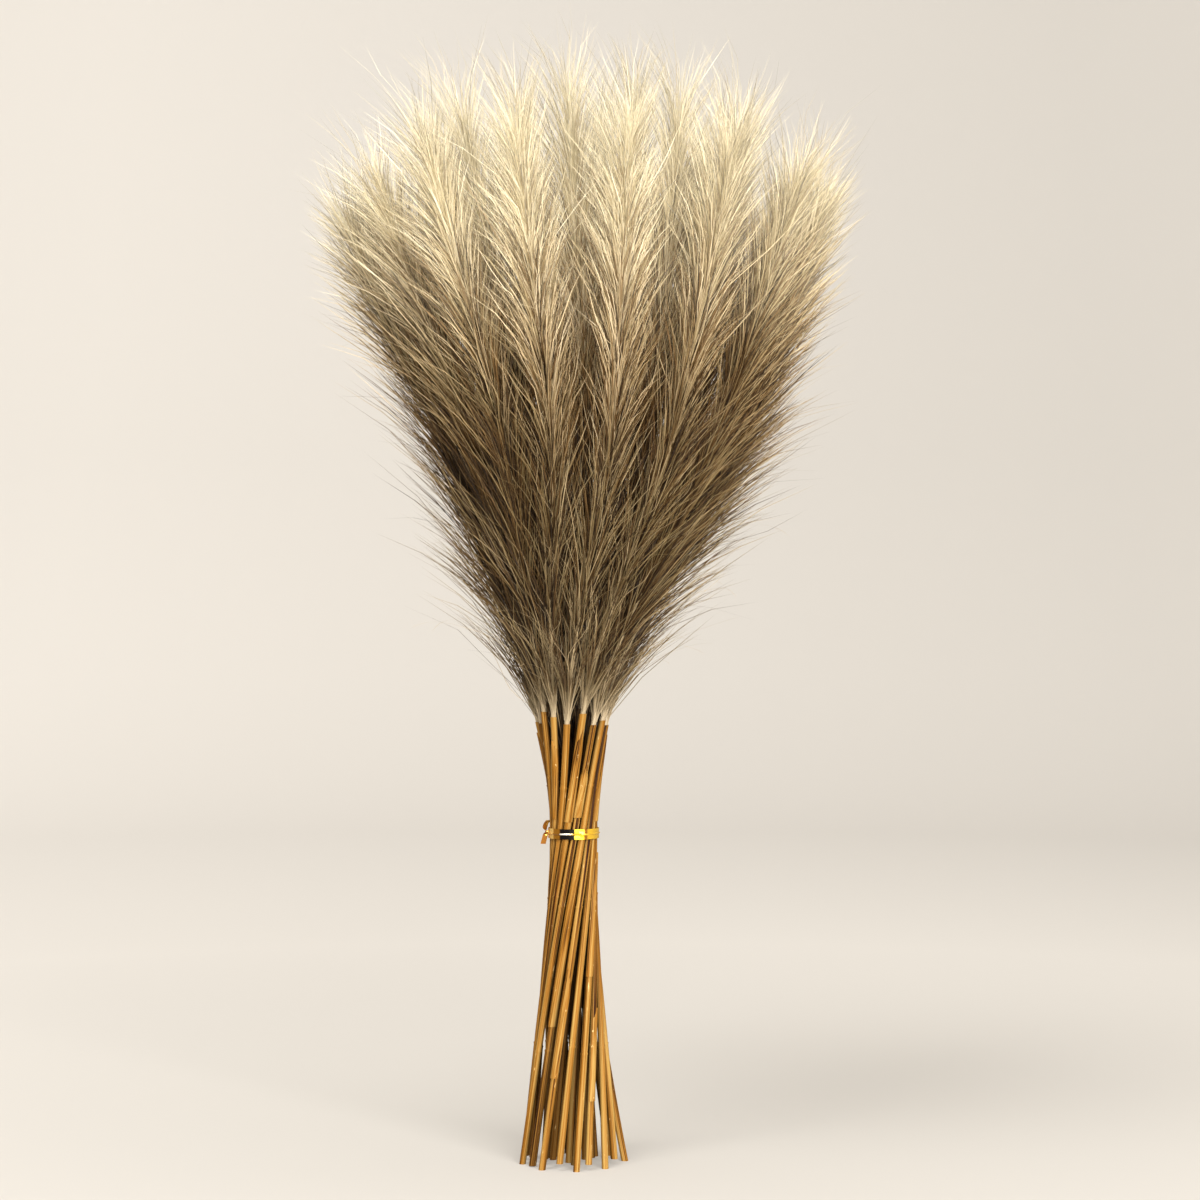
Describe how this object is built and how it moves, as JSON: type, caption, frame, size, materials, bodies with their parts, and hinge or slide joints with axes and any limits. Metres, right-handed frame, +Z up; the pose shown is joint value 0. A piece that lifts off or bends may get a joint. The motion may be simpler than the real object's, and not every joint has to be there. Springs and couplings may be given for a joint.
{
  "type": "bundle of dried pampas grass",
  "caption": "Sheaf of dried pampas grass: feathery plumes on slim reed stems, gathered by a gold foil twist tie and standing on its splayed cut ends.",
  "frame": {"origin": "on the ground under the middle of the bundle: the middle of its box, at the level of the lowest cut ends", "axes": "+Z up along the stems towards the plumes, +X to the right of the front view, -Y towards the viewer in front"},
  "size_m": [0.2432, 0.2612, 0.4981],
  "materials": {
    "dried_reed": "satin",
    "plume_hair": "matte",
    "gold_foil": "gloss"
  },
  "bodies": {
    "root": {"stem_01": "dried_reed", "plume_01": "plume_hair", "stem_02": "dried_reed", "plume_02": "plume_hair", "stem_03": "dried_reed", "plume_03": "plume_hair", "stem_04": "dried_reed", "plume_04": "plume_hair", "stem_05": "dried_reed", "plume_05": "plume_hair", "stem_06": "dried_reed", "plume_06": "plume_hair", "stem_07": "dried_reed", "plume_07": "plume_hair", "stem_08": "dried_reed", "plume_08": "plume_hair", "stem_09": "dried_reed", "plume_09": "plume_hair", "stem_10": "dried_reed", "plume_10": "plume_hair", "stem_11": "dried_reed", "plume_11": "plume_hair", "stem_12": "dried_reed", "plume_12": "plume_hair", "stem_13": "dried_reed", "plume_13": "plume_hair", "stem_14": "dried_reed", "plume_14": "plume_hair", "stem_15": "dried_reed", "plume_15": "plume_hair", "stem_16": "dried_reed", "plume_16": "plume_hair", "stem_17": "dried_reed", "plume_17": "plume_hair", "stem_18": "dried_reed", "plume_18": "plume_hair", "stem_19": "dried_reed", "plume_19": "plume_hair", "stem_20": "dried_reed", "plume_20": "plume_hair", "stem_21": "dried_reed", "plume_21": "plume_hair", "stem_22": "dried_reed", "plume_22": "plume_hair", "stem_23": "dried_reed", "plume_23": "plume_hair", "stem_24": "dried_reed", "plume_24": "plume_hair", "stem_25": "dried_reed", "plume_25": "plume_hair", "stem_26": "dried_reed", "plume_26": "plume_hair", "stem_27": "dried_reed", "plume_27": "plume_hair", "stem_28": "dried_reed", "plume_28": "plume_hair", "stem_29": "dried_reed", "plume_29": "plume_hair", "tie": "gold_foil"}
  },
  "joints": []
}
